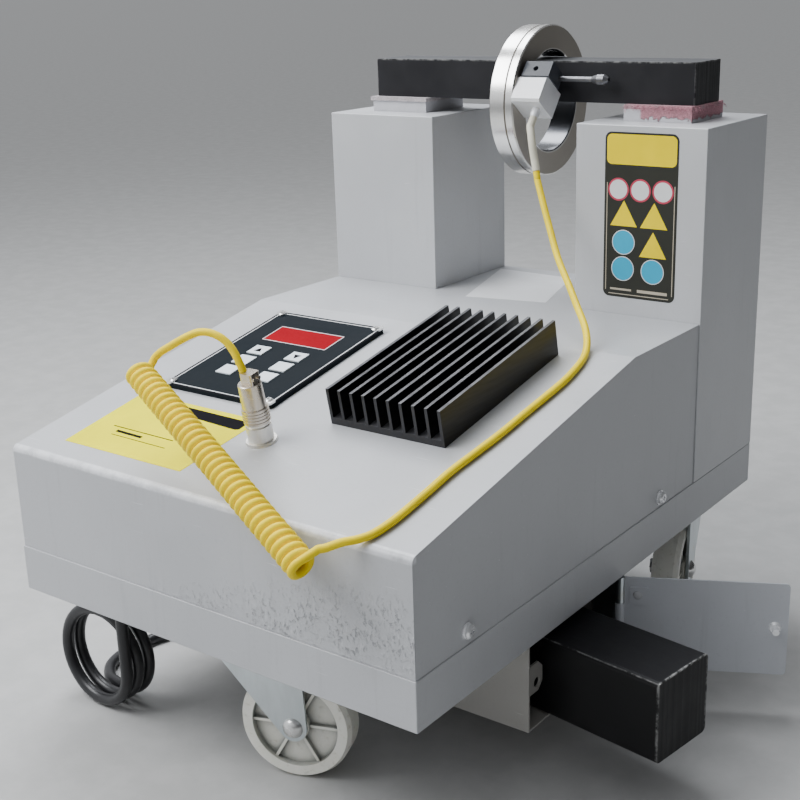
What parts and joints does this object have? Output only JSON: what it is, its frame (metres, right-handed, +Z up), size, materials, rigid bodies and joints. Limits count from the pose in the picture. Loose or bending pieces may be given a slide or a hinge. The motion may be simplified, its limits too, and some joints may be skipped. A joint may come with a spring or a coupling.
{
  "type": "bearing heater",
  "caption": "Induction bearing heater on swivel casters with crossbar, hanging bearing ring, magnetic probe on a curly cable and a stowed spare yoke.",
  "frame": {"origin": "on the floor, under the middle of the machine's bounding box without its leads", "axes": "+X to the right along the crossbar, +Y to the back (the rear panel faces it), +Z up"},
  "size_m": [0.4738, 0.6936, 0.4815],
  "materials": {
    "light_grey_paint": "semi-gloss light grey paint on folded sheet",
    "core_paint": "grey paint over laminated steel",
    "bright_screws": "bright zinc",
    "winding_tape": "varnished tape over the winding",
    "dark_bracket": "dark painted steel",
    "left_pad_felt": "pale pressed felt",
    "right_pad_felt": "frayed pink felt",
    "laminated_black": "black varnish on stacked sheet steel",
    "board_green": "solder mask",
    "display_black": "display body",
    "module_black": "moulded module",
    "transformer_steel": "varnished transformer",
    "strip_cream": "moulded strip",
    "panel_film": "printed film on a plate",
    "window_red": "clear red filter",
    "key_white": "white key tops",
    "sink_black": "black anodised",
    "nickel": "satin nickel plating",
    "bearing_steel": "ground and polished steel",
    "probe_metal": "bright machined metal",
    "holder_black": "dark moulded holder",
    "zinc_plate": "blue-white zinc plating",
    "nylon_cream": "cream nylon",
    "lead_black": "black lead sheath",
    "cable_yellow": "glossy yellow sheath",
    "sleeve_cream": "pale sleeve"
  },
  "bodies": {
    "housing": {"base_tray": "light_grey_paint", "left_pillar": "light_grey_paint", "right_pillar": "light_grey_paint", "deck_cover": "light_grey_paint", "cover_screws": "bright_screws", "magnet_core": "core_paint", "left_coil": "winding_tape", "right_coil": "winding_tape", "core_clamps": "dark_bracket", "left_pad": "left_pad_felt", "right_pad": "right_pad_felt", "control_board": "board_green", "display_module": "display_black", "thyristor_module": "module_black", "control_transformer": "transformer_steel", "terminal_block": "strip_cream", "control_panel": "panel_film", "display_window": "window_red", "panel_screws": "bright_screws", "heat_sink": "sink_black", "connector_socket": "nickel", "connector_plug": "nickel", "plug_clamp": "nickel", "storage_box": "light_grey_paint", "door_hinge": "zinc_plate", "caster_plates": "zinc_plate", "caster_bolts": "zinc_plate", "mains_gland": "lead_black", "mains_loops": "lead_black", "mains_run": "lead_black", "mains_coil": "lead_black", "mains_plug": "lead_black", "probe_sleeve": "sleeve_cream", "probe_run": "cable_yellow", "probe_curl": "cable_yellow", "probe_arch": "cable_yellow"},
    "raise_button": {"raise_key": "key_white"},
    "lower_button": {"lower_key": "key_white"},
    "time_button": {"time_key": "key_white"},
    "heat_button": {"heat_key": "key_white"},
    "start_button": {"start_key": "key_white"},
    "stop_button": {"stop_key": "key_white"},
    "crossbar_body": {"crossbar": "laminated_black"},
    "ring_body": {"bearing_ring": "bearing_steel"},
    "probe_body": {"probe_block": "probe_metal", "probe_magnet": "holder_black", "probe_lever": "bright_screws", "probe_gland": "probe_metal"},
    "door_body": {"storage_door": "light_grey_paint", "door_screw": "bright_screws"},
    "yoke_body": {"spare_yoke": "laminated_black"},
    "front_swivel": {"front_fork": "zinc_plate", "front_axle": "bright_screws"},
    "front_roller": {"front_wheel": "nylon_cream"},
    "rear_right_swivel": {"rear_right_fork": "zinc_plate", "rear_right_axle": "bright_screws"},
    "rear_right_roller": {"rear_right_wheel": "nylon_cream"},
    "rear_left_swivel": {"rear_left_fork": "zinc_plate", "rear_left_axle": "bright_screws"},
    "rear_left_roller": {"rear_left_wheel": "nylon_cream"}
  },
  "joints": [
    {"name": "raise_key_press", "type": "slide", "parent": "housing", "child": "raise_button", "axis": [0, 0.1899, -0.9818], "range_m": [0, 0.0005], "stiffness_N_per_m": 400},
    {"name": "lower_key_press", "type": "slide", "parent": "housing", "child": "lower_button", "axis": [0, 0.1899, -0.9818], "range_m": [0, 0.0005], "stiffness_N_per_m": 400},
    {"name": "time_key_press", "type": "slide", "parent": "housing", "child": "time_button", "axis": [0, 0.1899, -0.9818], "range_m": [0, 0.0005], "stiffness_N_per_m": 400},
    {"name": "heat_key_press", "type": "slide", "parent": "housing", "child": "heat_button", "axis": [0, 0.1899, -0.9818], "range_m": [0, 0.0005], "stiffness_N_per_m": 400},
    {"name": "start_key_press", "type": "slide", "parent": "housing", "child": "start_button", "axis": [0, 0.1899, -0.9818], "range_m": [0, 0.0005], "stiffness_N_per_m": 400},
    {"name": "stop_key_press", "type": "slide", "parent": "housing", "child": "stop_button", "axis": [0, 0.1899, -0.9818], "range_m": [0, 0.0005], "stiffness_N_per_m": 400},
    {"name": "crossbar_lift", "type": "slide", "parent": "housing", "child": "crossbar_body", "axis": [0, 0, 1], "range_m": [0, 0.06]},
    {"name": "ring_slide", "type": "slide", "parent": "crossbar_body", "child": "ring_body", "axis": [1, 0, 0], "range_m": [-0.05, 0]},
    {"name": "probe_pull", "type": "slide", "parent": "housing", "child": "probe_body", "axis": [1, 0, 0], "range_m": [0, 0.03]},
    {"name": "door_swing", "type": "hinge", "parent": "housing", "child": "door_body", "pos_m": [0.12089, 0.01685, 0.067], "axis": [0, 0, 1], "range_deg": [-117.1, 0]},
    {"name": "yoke_slide", "type": "slide", "parent": "housing", "child": "yoke_body", "axis": [-0.9888, 0.1495, 0], "range_m": [0, 0.0985]},
    {"name": "front_swivel_turn", "type": "hinge", "parent": "housing", "child": "front_swivel", "pos_m": [-0.04961, -0.19265, 0.096], "axis": [0, 0, 1], "continuous": true},
    {"name": "front_wheel_spin", "type": "hinge", "parent": "front_swivel", "child": "front_roller", "pos_m": [-0.01754, -0.18136, 0.04], "axis": [-0.3322, 0.9432, 0], "continuous": true},
    {"name": "rear_right_swivel_turn", "type": "hinge", "parent": "housing", "child": "rear_right_swivel", "pos_m": [0.08039, 0.21015, 0.096], "axis": [0, 0, 1], "continuous": true},
    {"name": "rear_right_wheel_spin", "type": "hinge", "parent": "rear_right_swivel", "child": "rear_right_roller", "pos_m": [0.08844, 0.17712, 0.04], "axis": [0.9715, 0.2368, 0], "continuous": true},
    {"name": "rear_left_swivel_turn", "type": "hinge", "parent": "housing", "child": "rear_left_swivel", "pos_m": [-0.17961, 0.21015, 0.096], "axis": [0, 0, 1], "continuous": true},
    {"name": "rear_left_wheel_spin", "type": "hinge", "parent": "rear_left_swivel", "child": "rear_left_roller", "pos_m": [-0.18955, 0.17764, 0.04], "axis": [0.9563, -0.2924, 0], "continuous": true}
  ],
  "couplings": [
    {"joint": "yoke_slide", "follows": "door_swing", "m_per_rad": -0.04818}
  ]
}
